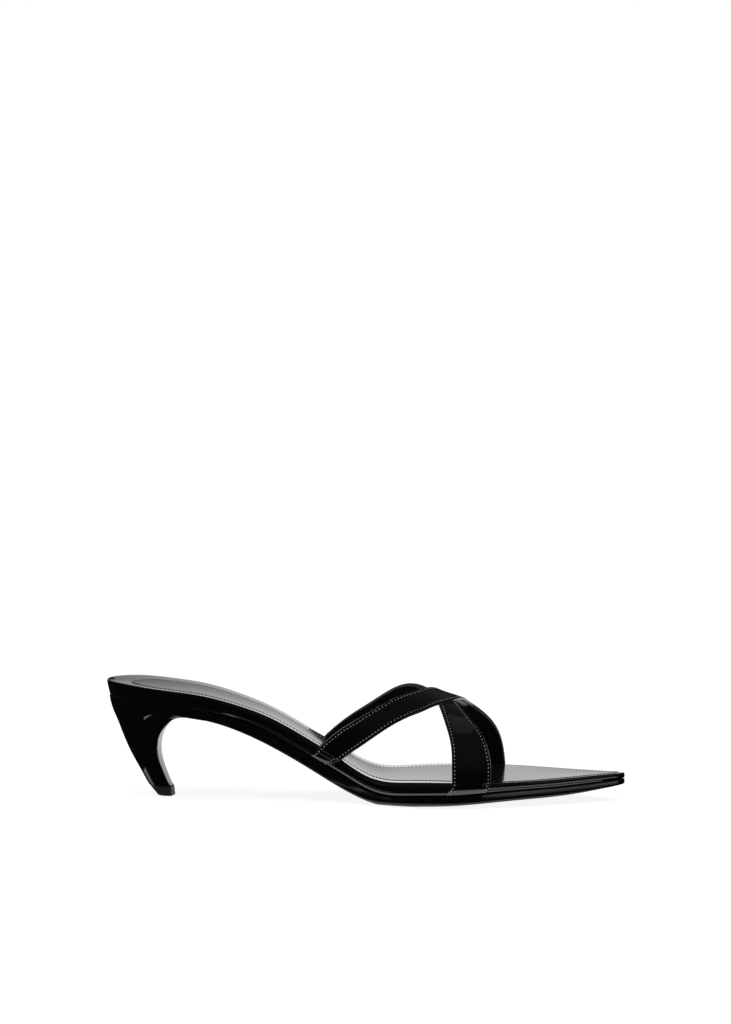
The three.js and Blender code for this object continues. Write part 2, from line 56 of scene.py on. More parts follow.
# %% The size sheet
MM = 0.001
shoe_length = 255.0
half_ball = 72.8 / 2
heel_rise = 45.5
toe_lift = 1.7
footbed_side = 7.2
outsole_thickness = 4.9
seat_length = 51.0
cup_depth = 1.2
outsole_setback = 0.6
toe_round = 3.2
seat_round = 29.0
sock_margin = 8.4
sock_recess = 0.8
heel_setback = 1.4
heel_width = 47.0
tip_height = 4.9
tip_length = 8.5
tip_back = 25.2
tip_flare = 0.35
strap_height = 48.0
strap_thickness = 1.8
tab_thickness = 1.0
crest_shift = 2.0
foot_slant = 7.5
clearance = 0.3
origin_run = tip_back + tip_length / 2
print("shoe length", shoe_length, "mm, heel tip to toe", shoe_length - origin_run, "mm")

# %% [markdown]
# ## Section tables
# The outline and the side view of a last are drawn through a few stations. Each row is one
# station: `at` is its share of the length, the other columns are shares of the sizes above.

# %% Outline, side view, cup and ridge
plan = np.array([
    # at, centre, half
    [0.000, 0.000, 0.577],
    [0.047, 0.000, 0.648],
    [0.118, 0.000, 0.687],
    [0.176, 0.000, 0.665],
    [0.275, -0.014, 0.580],
    [0.392, -0.019, 0.519],
    [0.471, -0.016, 0.610],
    [0.549, -0.025, 0.854],
    [0.616, -0.022, 0.967],
    [0.675, 0.000, 1.000],
    [0.729, 0.022, 0.973],
    [0.784, 0.036, 0.871],
    [0.843, 0.041, 0.690],
    [0.922, 0.033, 0.368],
    [1.000, 0.033, 0.066],
])
side_view = np.array([
    # at, rise, lift, footbed side, outsole
    [0.000, 1.000, 0.000, 1.056, 0.918],
    [0.047, 0.985, 0.000, 1.139, 0.959],
    [0.118, 0.941, 0.000, 1.167, 0.918],
    [0.196, 0.877, 0.000, 1.111, 0.850],
    [0.255, 0.787, 0.000, 1.028, 1.080],
    [0.314, 0.664, 0.000, 1.120, 1.224],
    [0.392, 0.424, 0.000, 1.110, 1.347],
    [0.463, 0.182, 0.000, 0.986, 1.450],
    [0.506, 0.048, 0.000, 0.900, 1.270],
    [0.541, 0.000, 0.000, 0.944, 1.160],
    [0.588, 0.000, 0.000, 0.960, 1.090],
    [0.667, 0.000, 0.176, 0.890, 1.070],
    [0.784, 0.000, 0.118, 0.569, 1.061],
    [0.902, 0.000, 0.471, 0.528, 0.898],
    [1.000, 0.000, 1.000, 0.417, 0.551],
])
cup_table = np.array([
    # at, cup, margin
    [0.000, 0.9, 1.40],
    [0.080, 1.0, 1.10],
    [0.200, 1.0, 1.00],
    [0.400, 0.7, 0.95],
    [0.500, 0.5, 1.00],
    [0.600, 0.4, 1.15],
    [0.680, 0.3, 0.90],
    [0.760, 0.2, 0.45],
    [0.860, 0.2, 0.36],
    [1.000, 0.1, 0.34],
])
ridge = np.array([
    # at, height
    [0.373, 0.956],
    [0.431, 1.004],
    [0.490, 1.041],
    [0.549, 0.990],
    [0.588, 0.900],
    [0.627, 0.802],
    [0.675, 0.716],
    [0.725, 0.665],
    [0.784, 0.577],
])
print("stations:", len(plan), "outline,", len(side_view), "side view,", len(ridge), "ridge")

# %% [markdown]
# ## A smooth curve through the stations
# Glossy leather shows every kink in a surface, because a reflection jumps where the bend
# changes suddenly. A natural cubic spline keeps the bend itself smooth, as a bent wooden
# batten does, so it is used for every table.

# %% The batten
def batten(xs, ys):
    xs = np.asarray(xs, float)
    ys = np.asarray(ys, float)
    gaps = np.diff(xs)
    grid = np.eye(len(xs))
    pull = np.zeros(len(xs))
    for i in range(1, len(xs) - 1):
        grid[i, i - 1 : i + 2] = gaps[i - 1], 2 * (gaps[i - 1] + gaps[i]), gaps[i]
        pull[i] = 6 * ((ys[i + 1] - ys[i]) / gaps[i] - (ys[i] - ys[i - 1]) / gaps[i - 1])
    bend = np.linalg.solve(grid, pull)

    def curve(value):
        x = np.clip(np.asarray(value, float), xs[0], xs[-1])
        i = np.clip(np.searchsorted(xs, x, side="right") - 1, 0, len(xs) - 2)
        step = gaps[i]
        a = (xs[i + 1] - x) / step
        b = (x - xs[i]) / step
        sag = ((a**3 - a) * bend[i] + (b**3 - b) * bend[i + 1]) * step * step / 6
        return a * ys[i] + b * ys[i + 1] + sag

    return curve


def along_shoe(table, column):
    curve = batten(table[:, 0], table[:, column])
    return lambda run: curve(np.asarray(run, float) / shoe_length)


def mix(a, b, share):
    return a + (b - a) * share


def ease(share):
    s = np.clip(share, 0, 1)
    return s**3 * (s * (6 * s - 15) + 10)


print("rim at the waist:", float(along_shoe(side_view, 1)(100)))

# %% [markdown]
# ## The form of the sole
# `run` is the distance from the back of the seat. These functions give the outline, the rim of
# the footbed, the seam under it, the line on the ground and the cupped upper face.

# %% Outline and heights
centre_share, half_share = along_shoe(plan, 1), along_shoe(plan, 2)
rise_share, lift_share = along_shoe(side_view, 1), along_shoe(side_view, 2)
side_share, outsole_share = along_shoe(side_view, 3), along_shoe(side_view, 4)
cup_share, margin_share = along_shoe(cup_table, 1), along_shoe(cup_table, 2)
ridge_share = along_shoe(ridge, 1)


def centre_line(run):
    return half_ball * centre_share(run)


def half_width(run):
    from_back = np.clip(run / seat_round, 0, 1)
    from_toe = np.clip((shoe_length - run) / toe_round, 0, 1)
    back = np.sqrt(1 - (1 - from_back) ** 2)
    toe = np.sqrt(1 - (1 - from_toe) ** 2)
    return half_ball * half_share(run) * mix(back, 1, 0.1 * from_back) * toe


def rim_height(run):
    stack = footbed_side + outsole_thickness
    return stack + heel_rise * rise_share(run) + toe_lift * lift_share(run)


def seam_height(run):
    return rim_height(run) - footbed_side * side_share(run)


def ground_line(run):
    return np.maximum(0, seam_height(run) - outsole_thickness * outsole_share(run))


def sock_inset(run):
    return sock_margin * margin_share(run)


def footbed_top(run, across):
    reach = np.abs(across - centre_line(run)) / np.maximum(half_width(run), 1)
    bowl = (1 - np.minimum(reach, 1) ** 2) ** 1.5
    return rim_height(run) - cup_depth * cup_share(run) * bowl


print("widest at the ball:", round(2 * float(half_width(172.0)), 1), "mm")

# %% [markdown]
# ## Rolling a disc inside the outline
# The sock, the bullnose and the outsole all follow the footbed's outline at a distance. A disc
# rolled along the inside of the outline leaves exactly that parallel line, also round the
# narrow toe, where simply moving points would make them cross.

# %% The inner parallel
outline_runs = shoe_length * (1 - np.cos(np.linspace(0, math.pi, 1201))) / 2
outline_centre, outline_half = centre_line(outline_runs), half_width(outline_runs)


def parallel(inset):
    reach = np.asarray([inset(r) for r in outline_runs], float)

    def side(run, sign):
        run = np.atleast_1d(run)[:, None]
        away = np.abs(run - outline_runs[None, :])
        edge = sign * outline_centre + outline_half
        drop = np.sqrt(np.maximum(reach**2 - away**2, 0))
        rolled = np.where(away < reach, edge - drop, np.inf).min(axis=1)
        plain = sign * centre_line(run[:, 0]) + half_width(run[:, 0])
        own = np.array([inset(r) for r in run[:, 0]])
        return np.minimum(rolled, plain - np.maximum(own, 0))

    def width(run):
        return float((side(run, -1) + side(run, 1))[0])

    def end(inner, outer):
        for _ in range(40):
            middle = (inner + outer) / 2
            inner, outer = (middle, outer) if width(middle) > 0 else (inner, middle)
        return inner

    middle = shoe_length / 2
    return side, end(middle, 0.0), end(middle, shoe_length)


side_of_sock, sock_back, sock_toe = parallel(sock_inset)
print("the sock runs from", round(sock_back, 1), "to", round(sock_toe, 1), "mm")

# %% [markdown]
# ## Turning points into a mesh
# Blender takes a list of points and a list of faces. This helper scales them to metres, moves
# the shoe so that the heel tip stands at the origin, shades it smooth, and keeps an edge sharp
# where two faces meet at more than the given angle.

# %% Mesh maker
def make_piece(name, points, faces, finishes, crease=40, slots=None):
    mesh = bpy.data.meshes.new(name)
    placed = (np.asarray(points, float) - [origin_run, 0, 0]) * MM
    mesh.from_pydata([tuple(p) for p in placed], [], [tuple(f) for f in faces])
    mesh.validate()
    for finish in finishes:
        mesh.materials.append(finish)
    if slots is not None:
        for face, index in zip(mesh.polygons, slots):
            face.material_index = int(index)
    mesh.shade_smooth()
    mesh.set_sharp_from_angle(angle=math.radians(crease))
    piece = bpy.data.objects.new(name, mesh)
    bpy.context.scene.collection.objects.link(piece)
    return piece


def face_out(piece):
    work = bmesh.new()
    work.from_mesh(piece.data)
    bmesh.ops.recalc_face_normals(work, faces=work.faces)
    work.to_mesh(piece.data)
    work.free()


print("mesh maker ready")

# %% [markdown]
# ## Layers of the sole
# Footbed, sock and outsole are made in one way: closed rings, one above the other, from the
# underside to the upper face, then both faces are filled with a grid of cross lines.

# %% Layer maker
def layer_mesh(rows, stations=260, cross=24, square_back=None):
    points, faces, loops, rims = [], [], [], []
    square = square_back is not None
    turn = np.linspace(0, 1, stations + 1)
    share = np.sin(math.pi * turn / 2) if square else (1 - np.cos(math.pi * turn)) / 2
    for inset, height in rows:
        side, back, toe = parallel(inset)
        run = mix(square_back if square else back, toe, share)
        near, far = -side(run, -1), side(run, 1)
        pointed = np.zeros(len(run), bool)
        pointed[-1] = True
        pointed[0] = not square
        middle = (near + far) / 2
        near, far = np.where(pointed, middle, near), np.where(pointed, middle, far)
        start = len(points)
        points += [(r, y, z) for r, y, z in zip(run, near, height(run, near))]
        points += [(r, y, z) for r, y, z in zip(run, far, height(run, far))]
        near_ids = list(range(start, start + len(run)))
        far_ids = list(range(start + len(run), start + 2 * len(run)))
        far_ids[-1] = near_ids[-1]
        if not square:
            far_ids[0] = near_ids[0]
        loop = near_ids + far_ids[-2:0:-1] + ([far_ids[0]] if square else [])
        loops.append(loop)
        rims.append((run, near, far, near_ids, far_ids, height))
    for low, high in zip(loops, loops[1:]):
        for i in range(len(low)):
            j = (i + 1) % len(low)
            faces.append((low[i], low[j], high[j], high[i]))
    for rim, flip in ((rims[0], True), (rims[-1], False)):
        run, near, far, near_ids, far_ids, height = rim
        lines = []
        for k in range(len(run)):
            if near_ids[k] == far_ids[k]:
                lines.append([near_ids[k]])
                continue
            inner = np.linspace(near[k], far[k], cross + 1)[1:-1]
            first = len(points)
            at = np.full(len(inner), run[k])
            points += [(r, y, z) for r, y, z in zip(at, inner, height(at, inner))]
            ids = list(range(first, first + len(inner)))
            lines.append([near_ids[k]] + ids + [far_ids[k]])
        for a, b in zip(lines, lines[1:]):
            for i in range(max(len(a), len(b)) - 1):
                quad = [
                    a[min(i, len(a) - 1)],
                    b[min(i, len(b) - 1)],
                    b[min(i + 1, len(b) - 1)],
                    a[min(i + 1, len(a) - 1)],
                ]
                quad = list(dict.fromkeys(quad))
                faces.append(tuple(quad if not flip else quad[::-1]))
    return points, faces


print("layer maker ready")

# %% [markdown]
# ## Finishes
# Patent leather is leather under a thick clear lacquer: the colour is nearly black, and all
# that the eye sees is the lacquer's reflection. A dark base with a clear coat does this. The
# lacquer is never quite flat, so a very faint, wide bump lets the reflections swim a little.

# %% Finish maker
def leather_finish(name, colour, gloss, coat, grain_size, grain_depth, uneven=0.0):
    finish = bpy.data.materials.new(name)
    finish.use_nodes = True
    nodes, links = finish.node_tree.nodes, finish.node_tree.links
    shader = nodes["Principled BSDF"]
    shader.inputs["Specular IOR Level"].default_value = 0.3 if coat else 0.5
    shader.inputs["Coat Weight"].default_value = coat
    shader.inputs["Coat Roughness"].default_value = 0.02
    place = nodes.new("ShaderNodeTexCoord")
    grain = nodes.new("ShaderNodeTexNoise")
    grain.inputs["Scale"].default_value = 1 / (grain_size * MM)
    grain.inputs["Detail"].default_value = 3
    links.new(place.outputs["Object"], grain.inputs["Vector"])
    tone = nodes.new("ShaderNodeValToRGB")
    tone.color_ramp.elements[0].color = (*[c * (1 - uneven) for c in colour], 1)
    tone.color_ramp.elements[1].color = (*[c * (1 + uneven) for c in colour], 1)
    links.new(grain.outputs["Fac"], tone.inputs["Fac"])
    links.new(tone.outputs["Color"], shader.inputs["Base Color"])
    sheen = nodes.new("ShaderNodeMapRange")
    sheen.inputs["To Min"].default_value = gloss * 0.85
    sheen.inputs["To Max"].default_value = gloss * 1.15
    links.new(grain.outputs["Fac"], sheen.inputs["Value"])
    links.new(sheen.outputs["Result"], shader.inputs["Roughness"])
    bump = nodes.new("ShaderNodeBump")
    bump.inputs["Strength"].default_value = 1.0
    bump.inputs["Distance"].default_value = grain_depth * MM
    links.new(grain.outputs["Fac"], bump.inputs["Height"])
    links.new(bump.outputs["Normal"], shader.inputs["Normal"])
    links.new(bump.outputs["Normal"], shader.inputs["Coat Normal"])
    return finish


patent = leather_finish(
    "black patent leather", (0.0015, 0.0015, 0.0018), 0.08, 1.0, 9.0, 0.012, 0.2,
)
print("patent leather ready")

# %% [markdown]
# The sock and the lining are dressed calf, glossy but not lacquered. The outsole is satin
# rubber, the heel tip a dull plastic, and the thread is waxed. The strap thread is black; its
# light grey colour is a painted highlight for the glints it catches.

# %% Other finishes
calf_black, sole_black = (0.008, 0.008, 0.0085), (0.002, 0.002, 0.0022)
charcoal, paint_grey = (0.012, 0.014, 0.0125), (0.07, 0.07, 0.072)
# The strap thread's light grey is a painted highlight: the real thread is black, and the grey
# stands in for the glints on it.
thread_painted_glint_grey, thread_black = (0.55, 0.55, 0.56), (0.015, 0.015, 0.016)
sock_leather = leather_finish("black sock leather", calf_black, 0.13, 0.0, 0.7, 0.012, 0.2)
lining = leather_finish("black lining leather", calf_black, 0.24, 0.0, 0.7, 0.006, 0.2)
sole_rubber = leather_finish("black outsole edge", sole_black, 0.10, 0.0, 0.5, 0.004, 0.2)
tip_plastic = leather_finish("charcoal heel tip", charcoal, 0.5, 0.0, 0.4, 0.02, 0.3)
# This grey strap thread carries the painted glints; the sock thread below keeps its own black.
thread = leather_finish("black thread painted grey for glints", thread_painted_glint_grey, 0.28, 0.0, 0.15, 0.02, 0.3)
dark_thread = leather_finish("waxed black thread", thread_black, 0.45, 0.0, 0.15, 0.02, 0.3)
edge_paint = leather_finish("painted cut edge", paint_grey, 0.22, 0.0, 0.5, 0.02, 0.2)
print("finishes:", len(bpy.data.materials))

# %% [markdown]
# ## Footbed
# The insole board is wrapped in patent leather. Seen from the side it is a bullnose: round at
# the rim, full in the middle and drawn in below. At the seat it is a plain slope that runs on
# into the heel. One table holds both profiles, and the side passes from one to the other.

# %% Footbed
side_profile = np.array([
    # up, inset at the waist and ball, inset at the seat
    [0.000, 2.60, 2.00],
    [0.050, 2.20, 1.80],
    [0.095, 0.95, 1.55],
    [0.160, 0.52, 1.42],
    [0.260, 0.14, 1.20],
    [0.360, 0.00, 0.98],
    [0.536, 0.00, 0.65],
    [0.700, 0.08, 0.32],
    [0.830, 0.34, 0.10],
    [0.910, 0.66, 0.04],
    [0.960, 1.05, 0.08],
    [0.987, 1.55, 0.30],
    [1.000, 2.30, 0.80],
])
profile_steps = np.arange(len(side_profile))
profile_up, waist_inset, seat_inset = (batten(profile_steps, side_profile[:, k]) for k in range(3))
seat_ends, waist_starts = 30.0, 85.0


def side_row(step):
    up = float(profile_up(step))

    def inset(run):
        forward = ease((run - seat_ends) / (waist_starts - seat_ends))
        thin = np.clip(side_share(run) / 0.95, 0.35, 1.0)
        return mix(float(seat_inset(step)), float(waist_inset(step)) * thin, forward)

    def height(run, across):
        return footbed_top(run, across) - (1 - up) * footbed_side * side_share(run)

    return inset, height


top_inset, _ = side_row(len(side_profile) - 1)
footbed_rows = [side_row(step) for step in np.linspace(0, len(side_profile) - 1, 34)]
for part in (0.3, 0.6, 1.0):
    footbed_rows.append((
        lambda run, p=part: mix(top_inset(run), sock_inset(run) + 1.5, p), footbed_top,
    ))
points, faces = layer_mesh(footbed_rows)
footbed = make_piece("wrapped_footbed", points, faces, [patent], crease=50)
print("footbed faces:", len(footbed.data.polygons))

# %% [markdown]
# ## Sock
# The sock is a thin sheet glued over the footbed. Its edge is skived, so it ends in a soft
# step, and it stands hardly above the footbed.

# %% Sock
def sock_height(raise_by):
    return lambda run, across: footbed_top(run, across) - sock_recess + raise_by


sock_top = sock_recess + 0.15
sock_levels = [(0.0, 0.3), (0.0, sock_top - 0.06), (0.1, sock_top - 0.02), (0.3, sock_top)]
sock_rows = [
    (lambda run, e=edge: sock_inset(run) + e, sock_height(level)) for edge, level in sock_levels
]
points, faces = layer_mesh(sock_rows)
sock = make_piece("dressed_sock", points, faces, [sock_leather], crease=50)
print("sock faces:", len(sock.data.polygons))

# %% [markdown]
# ## Outsole
# The outsole is a thin sheet under the footbed. It starts at the heel's lip, bends down through
# the waist, lies flat under the ball and thins out to the toe. Its lower edge is buffed round.

# %% Outsole
edge_rounding = 1.4
camber_table = np.array([
    # run, camber
    [51, 1.2], [95, 1.2], [115, 3.0], [150, 4.5], [190, 3.0], [225, 1.2], [255, 0.6],
])
camber = batten(camber_table[:, 0], camber_table[:, 1])


def sole_edge(run):
    return mix(outsole_setback, 0.05, ease((run - 200) / 45))


def rounding_height(run):
    return edge_rounding * np.clip(outsole_share(run), 0.5, 1)


def sole_side(share):
    def height(run, across):
        low = ground_line(run) + rounding_height(run)
        return mix(low, seam_height(run) - 0.35, share)

    return height


sole_rows = []
for turn in np.linspace(0, math.pi / 2, 12):
    inward, up = 1 - math.sin(turn), 1 - math.cos(turn)
    sole_rows.append((
        lambda run, i=inward: sole_edge(run) + i * camber(run),
        lambda run, y, u=up: ground_line(run) + u * rounding_height(run),
    ))
sole_rows += [(sole_edge, sole_side(share)) for share in (0.4, 0.85, 1.0)]
for inset, drop in ((0.08, 0.22), (0.22, 0.15), (1.6, 0.12)):
    sole_rows.append((
        lambda run, i=inset: sole_edge(run) + i,
        lambda run, y, d=drop: seam_height(run) - d,
    ))
points, faces = layer_mesh(sole_rows, square_back=seat_length - 0.15)
outsole = make_piece("satin_outsole", points, faces, [sole_rubber], crease=50)
print("outsole faces:", len(outsole.data.polygons))

# %% [markdown]
# ## Heel
# The heel is a moulded block covered in patent leather. Twelve sections lead from the seat,
# which has the footbed's outline, down to a small round-backed foot. Each section is spanned
# between a point on the back line and a point on the breast line.

# %% Heel sections
heel_table = np.array([
    # back, back_up, front, front_up, half, seat
    [0.032, 1.000, 0.994, 1.000, 1.000, 1.00],
    [0.043, 0.955, 0.994, 0.900, 0.985, 1.00],
    [0.065, 0.868, 0.931, 0.910, 0.915, 0.80],
    [0.088, 0.795, 0.800, 0.888, 0.815, 0.60],
    [0.116, 0.708, 0.682, 0.845, 0.690, 0.35],
    [0.149, 0.595, 0.588, 0.735, 0.545, 0.15],
    [0.184, 0.490, 0.529, 0.620, 0.438, 0.00],
    [0.224, 0.388, 0.503, 0.487, 0.370, 0.00],
    [0.275, 0.277, 0.509, 0.355, 0.328, 0.00],
    [0.327, 0.170, 0.543, 0.220, 0.294, 0.00],
    [0.376, 0.062, 0.593, 0.081, 0.272, 0.00],
    [0.408, 0.000, 0.631, 0.000, 0.266, 0.00],
])
heel_foot = tip_height + clearance


def seat_top(run):
    return seam_height(run) - 0.05


back_run = seat_length * heel_table[:, 0]
breast_fullness = 1.3 * np.sin(np.pi * (0.15 + 0.85 * heel_table[:, 3]))
front_run = np.minimum(seat_length * heel_table[:, 2] + breast_fullness, seat_length - 0.1)
back_height = mix(heel_foot, seat_top(back_run), heel_table[:, 1])
front_height = mix(heel_foot, seat_top(front_run), heel_table[:, 3])
front_height[1] = ground_line(front_run[1])
section_at = np.arange(len(heel_table))
back_run_at, back_height_at = batten(section_at, back_run), batten(section_at, back_height)
half_at, seat_at = batten(section_at, heel_table[:, 4]), batten(section_at, heel_table[:, 5])
lower_front = batten(section_at[1:], front_run[1:])
lower_height = batten(section_at[1:], front_height[1:])
print("heel height:", round(float(back_height[0]), 1), "mm")


# %% Heel outline at one section
full_at, squareness = 0.62, 2.2
breast_bow, corner_soft = 1.2, 0.4


def section_width(share, seat_like, run, half, depth):
    round_part = np.minimum(share / full_at, 1)
    column = (1 - (1 - round_part) ** squareness) ** (1 / squareness)
    seat_shape = np.maximum((half_width(run) - heel_setback) / (heel_width / 2), 0)
    width = half * mix(column, seat_shape, seat_like)
    from_front = (1 - share) * depth
    bow = breast_bow * (1 - seat_like)
    corner = width * (0.88 + 0.12 * seat_like)
    breast = corner * np.clip(from_front / max(bow, 0.05), 0, 1) ** 0.85
    blend = np.clip((from_front - bow) / corner_soft, 0, 1)
    return np.where(from_front < bow, breast, mix(corner, width, np.sqrt(blend * (2 - blend))))


def heel_section(step, count=64):
    turn = np.linspace(0, 1, count + 1)
    share = (1 - np.cos(math.pi * turn)) / 2
    back, back_z = float(back_run_at(step)), float(back_height_at(step))
    if step < 1:
        front = float(front_run[0])
        front_z = mix(front_height[0], front_height[1], step)
    else:
        front, front_z = float(lower_front(step)), float(lower_height(step))
    run = mix(back, front, share)
    straight = mix(back_z, front_z, share)
    height = mix(seat_top(run), straight, min(step, 1)) if step < 1 else straight
    half = heel_width / 2 * float(half_at(step))
    width = section_width(share, float(np.clip(seat_at(step), 0, 1)), run, half, front - back)
    width[0] = 0
    near = [(r, -w, z) for r, w, z in zip(run, width, height)]
    far = [(r, w, z) for r, w, z in zip(run, width, height)]
    return near + far[:0:-1]


print("widest section:", round(2 * max(p[1] for p in heel_section(0.0)), 1), "mm")


# %% Heel mesh
def ring_mesh(rings, close=(True, True)):
    points, faces = [p for ring in rings for p in ring], []
    size = len(rings[0])
    for k in range(len(rings) - 1):
        for i in range(size):
            j = (i + 1) % size
            a, b = k * size, (k + 1) * size
            faces.append((a + i, a + j, b + j, b + i))
    for k, wanted in ((0, close[0]), (len(rings) - 1, close[1])):
        if wanted:
            start = k * size
            for i in range(size // 2):
                a, b = start + i, start + i + 1
                c, d = start + size - 1 - i, start + (size - i) % size
                quad = list(dict.fromkeys([a, b, c, d]))
                if len(quad) > 2:
                    faces.append(tuple(quad))
    return points, faces


heel_steps = np.concatenate([np.linspace(0, 1, 9)[:-1], np.linspace(1, 11, 111)])
points, faces = ring_mesh([heel_section(step) for step in heel_steps])
heel = make_piece("covered_heel", points, faces, [patent], crease=45)
face_out(heel)
print("heel faces:", len(heel.data.polygons))

# %% [markdown]
# ## Heel tip
# A small block of wear-hard plastic is pinned under the heel. It is a little wider than the
# heel's foot at the top and tapers to the floor.

# %% Heel tip
def tip_section(level):
    top_back, top_front = back_run[-1] + tip_flare, front_run[-1] + tip_flare
    low = 1 - level / tip_height
    back = mix(top_back, tip_back, low)
    front = mix(top_front, tip_back + tip_length, low)
    half = heel_width / 2 * heel_table[-1, 4] + mix(tip_flare, -tip_flare, low)
    soft = 0.35 * max(0.0, 1 - min(level, tip_height - level) / 0.35) ** 2
    turn = np.linspace(0, 1, 33)
    share = (1 - np.cos(math.pi * turn)) / 2
    run = mix(back + soft, front - soft, share)
    width = section_width(share, 0.0, run, half - soft, front - back)
    width[0] = 0
    near = [(r, -w, level) for r, w in zip(run, width)]
    far = [(r, w, level) for r, w in zip(run, width)]
    return near + far[:0:-1]


tip_levels = [0, 0.08, 0.2, 0.35, 1.5, 3.5, 4.55, 4.7, 4.82, 4.9]
points, faces = ring_mesh([tip_section(level) for level in tip_levels])
heel_tip = make_piece("wear_block", points, faces, [tip_plastic], crease=45)
face_out(heel_tip)
print("heel tip faces:", len(heel_tip.data.polygons))

# %% [markdown]
# ## Straps
# Each strap is a band cut on a curve: it comes out of the sole at the back of one side, climbs
# over the foot and goes into the sole further forward on the other side. The two tables give
# the run of both edges, as shares of the shoe's length, at every turn of the arch: 0 at the
# rear foot, 90 at the ridge, 180 at the front foot.

# %% Strap edges
over_table = np.array([
    # turn, heelward, toeward
    [0, 0.4170, 0.4590], [15, 0.4535, 0.4996], [30, 0.4925, 0.5435], [45, 0.5320, 0.5890],
    [60, 0.5680, 0.6280], [75, 0.5980, 0.6590], [90, 0.6200, 0.6815], [105, 0.6380, 0.6960],
    [120, 0.6570, 0.7130], [135, 0.6740, 0.7355], [150, 0.6850, 0.7520], [165, 0.6900, 0.7600],
    [180, 0.6920, 0.7640],
])
under_table = np.array([
    # turn, heelward, toeward
    [0, 0.4170, 0.4590], [15, 0.4535, 0.4996], [30, 0.4920, 0.5435], [45, 0.5290, 0.5890],
    [60, 0.5620, 0.6250], [75, 0.5930, 0.6520], [90, 0.6200, 0.6690], [105, 0.6385, 0.6840],
    [120, 0.6500, 0.7040], [135, 0.6610, 0.7260], [150, 0.6703, 0.7400], [165, 0.6732, 0.7465],
    [180, 0.6740, 0.7460],
])
foot_drift = {"rear": (0.65, 1.00), "front": (0.49, 0.29)}
foot_table = np.array([
    # step, inset, up, above
    [0, -0.30, 1.00, 0.00],
    [1, -0.30, 0.84, 0.00],
    [2, -0.26, 0.66, 0.00],
    [3, 0.06, 0.48, 0.00],
    [4, 0.48, 0.31, 0.05],
    [5, 1.00, 0.14, 0.35],
    [6, 1.90, 0.02, 0.95],
    [7, 4.50, 0.00, 1.10],
])
foot_inset = batten(foot_table[:, 0], foot_table[:, 1])
foot_up = batten(foot_table[:, 0], foot_table[:, 2])
foot_above = batten(foot_table[:, 0], foot_table[:, 3])
print("strap width at the rear foot:", round(shoe_length * 0.042, 1), "mm")


# %% Strap form
def past_arch(step):
    return np.maximum(-step, step - 180).clip(0, foot_table[-1, 0])


def strap_edges(table, mirrored):
    heelward, toeward = batten(table[:, 0], table[:, 1]), batten(table[:, 0], table[:, 2])

    def edges(step):
        inside = np.clip(step, 0, 180)
        turn = 180 - inside if mirrored else inside
        beyond = past_arch(step)
        slant = foot_slant * (1 - foot_up(beyond))
        front = turn > 90
        back_drift = np.where(front, foot_drift["front"][0], foot_drift["rear"][0])
        toe_drift = np.where(front, foot_drift["front"][1], foot_drift["rear"][1])
        return (
            shoe_length * heelward(turn) - slant * back_drift,
            shoe_length * toeward(turn) - slant * toe_drift,
        )

    return edges


def strap_form(run, step):
    side = np.where(step > 90, 1.0, -1.0)
    turn = np.radians(np.clip(step, 0, 180))
    beyond = past_arch(step)
    edge = side * centre_line(run) + half_width(run)
    bow = np.abs(np.cos(turn)) ** (2 / 2.3)
    swell = np.abs(np.sin(turn)) ** (2 / 2.1)
    arch_y = crest_shift + side * (edge + clearance - side * crest_shift) * bow
    arch_z = rim_height(run) + strap_height * ridge_share(run) * swell
    foot_y = side * (edge - foot_inset(beyond))
    low = mix(seam_height(run), rim_height(run), foot_up(beyond))
    foot_z = low + tab_thickness * foot_above(beyond)
    on_foot = beyond > 0
    y = np.where(on_foot, foot_y, arch_y)
    return np.stack([run, y, np.where(on_foot, foot_z, arch_z)], axis=-1)


over_edges, under_edges = strap_edges(over_table, False), strap_edges(under_table, True)
foot_steps = np.concatenate([np.linspace(7, 1.2, 20), np.linspace(1.0, 0.05, 12)])
arch_steps = np.linspace(0, 180, 201)
strap_steps = np.concatenate([-foot_steps, arch_steps, 180 + foot_steps[::-1]])
print("rows along each strap:", len(strap_steps))

# %% [markdown]
# The band has a skin that is folded round its edges and stitched a little inside. Across the
# strap the section is therefore a flat belly between two shallow stitch grooves, with a small
# roll outside each groove. The roll catches the light as a thin line.

# %% Strap section
edge_radius, stitch_inset, groove_level = 0.45, 1.35, 0.905
edge_turn = np.linspace(0, math.pi, 11)[1:-1]
edge_spots = [(edge_radius * (1 - math.sin(t)), (1 - math.cos(t)) / 2) for t in edge_turn]
outer_spots = [
    (edge_radius, 1.0), (0.65, 1.03), (0.85, 1.03), (1.02, 1.0), (1.15, 0.96), (1.25, 0.92),
    (stitch_inset, groove_level), (1.45, 0.92), (1.58, 0.96), (1.75, 0.985), (2.1, 1.0), (2.8, 1.0),
]
groove_column = len(edge_spots) + 1 + outer_spots.index((stitch_inset, groove_level))
one_side = [(edge_radius, 0.0)] + edge_spots + outer_spots
belly_shares, inner_shares = np.linspace(0, 1, 13)[1:-1], np.linspace(0, 1, 9)[1:-1]
print("groove column:", groove_column, "points on one side:", len(one_side))


# %% Strap mesh
crease_height, crease_width = 0.16, 0.45


def unit(v):
    return v / np.maximum(np.linalg.norm(v, axis=-1, keepdims=True), 1e-9)


def rim_crease(base):
    middle = base[:, base.shape[1] // 3]
    walked = np.concatenate([[0], np.cumsum(np.linalg.norm(np.diff(middle, axis=0), axis=1))])
    crease = np.zeros(len(walked))
    for row in (len(foot_steps), len(foot_steps) + len(arch_steps) - 1):
        crease += crease_height * np.exp(-(((walked - walked[row]) / crease_width) ** 2))
    return crease


